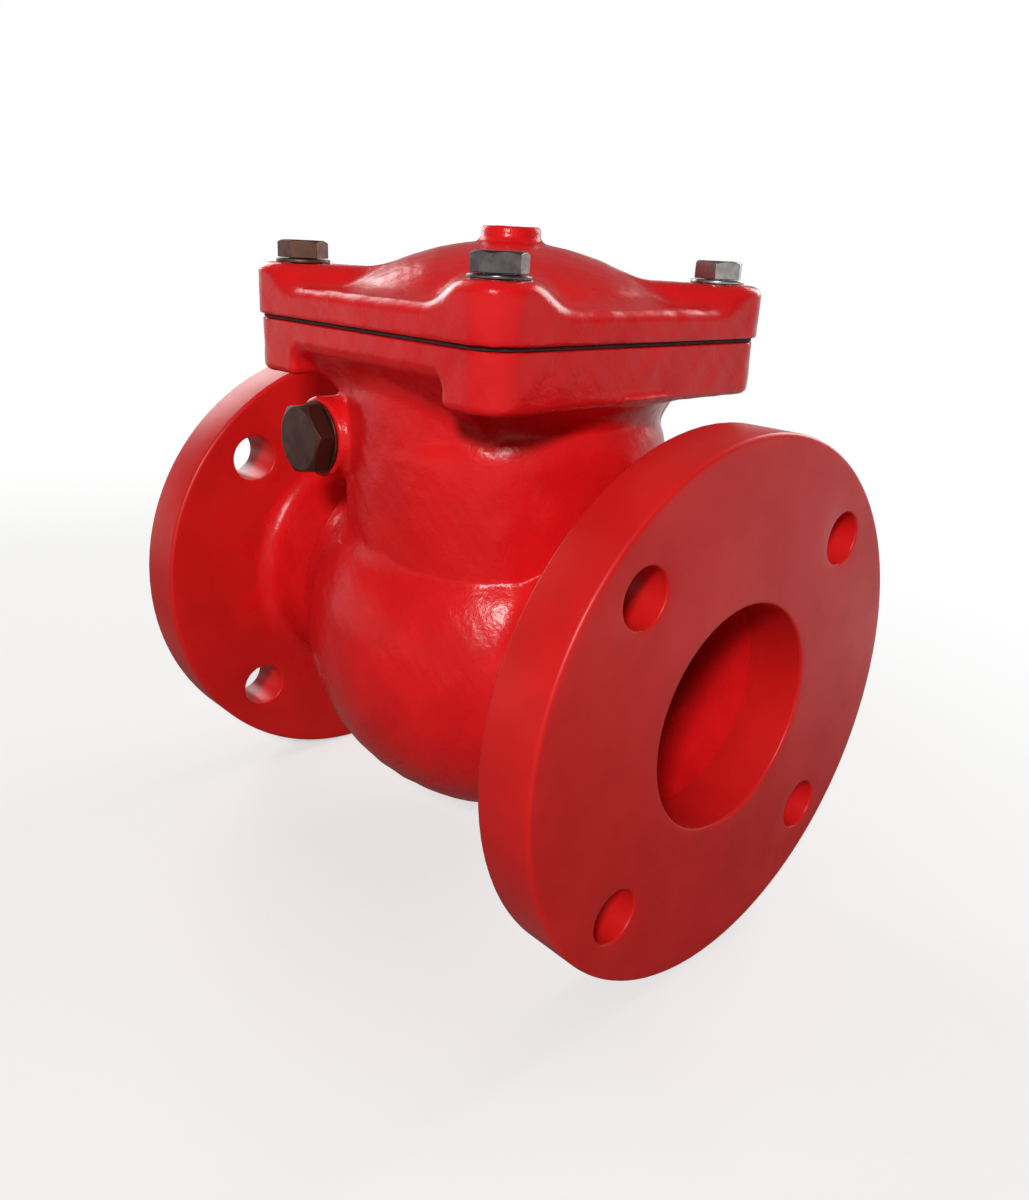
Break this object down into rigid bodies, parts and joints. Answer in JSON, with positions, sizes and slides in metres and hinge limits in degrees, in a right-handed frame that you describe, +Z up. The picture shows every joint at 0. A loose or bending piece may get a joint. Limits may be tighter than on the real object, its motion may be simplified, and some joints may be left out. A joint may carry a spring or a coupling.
{
  "type": "non-return valve",
  "caption": "Flanged swing non-return valve: a disc on a hinged arm closes against a seat inside a cast body under a bolted domed cover.",
  "frame": {"origin": "on the floor under the middle of the valve, where the two flange rims stand; the bore axis is 0.09579 m above it", "axes": "+X along the bore in the direction of flow, out of the outlet flange; +Z up through the cover; +Y across, away from the hinge plug"},
  "size_m": [0.2414, 0.1916, 0.2481],
  "materials": {
    "body_paint": "glossy red epoxy over rough cast iron",
    "cover_paint": "glossy red epoxy over rough cast iron",
    "joint_sheet": "dark matt joint sheet",
    "zinc_steel": "bright zinc plate",
    "brown_steel": "browned, dull",
    "gunmetal": "machined gunmetal",
    "stainless": "turned stainless steel",
    "coated_iron": "dark coated cast iron",
    "copper": "plain copper"
  },
  "bodies": {
    "housing": {"body": "body_paint", "cover": "cover_paint", "cover_gasket": "joint_sheet", "cover_bolt_1": "brown_steel", "cover_bolt_2": "zinc_steel", "cover_bolt_3": "zinc_steel", "cover_bolt_4": "zinc_steel", "bolt_washer_1": "brown_steel", "bolt_washer_2": "zinc_steel", "bolt_washer_3": "zinc_steel", "bolt_washer_4": "zinc_steel", "seat_ring": "gunmetal", "hinge_pin": "stainless", "hinge_bush_left": "gunmetal", "hinge_bush_right": "gunmetal", "plug_washer": "copper", "hinge_plug": "brown_steel"},
    "clapper": {"hinge_arm": "gunmetal"},
    "disc_group": {"disc": "coated_iron", "disc_ring": "gunmetal", "disc_washer": "stainless", "disc_nut": "stainless", "split_pin": "stainless"}
  },
  "joints": [
    {"name": "clapper_swing", "type": "hinge", "parent": "housing", "child": "clapper", "pos_m": [-0.037, 0, 0.16979], "axis": [0, -1, 0], "range_deg": [0, 58]},
    {"name": "disc_spin", "type": "hinge", "parent": "clapper", "child": "disc_group", "pos_m": [-0.0447, 0, 0.09579], "axis": [1, 0, 0], "continuous": true}
  ]
}
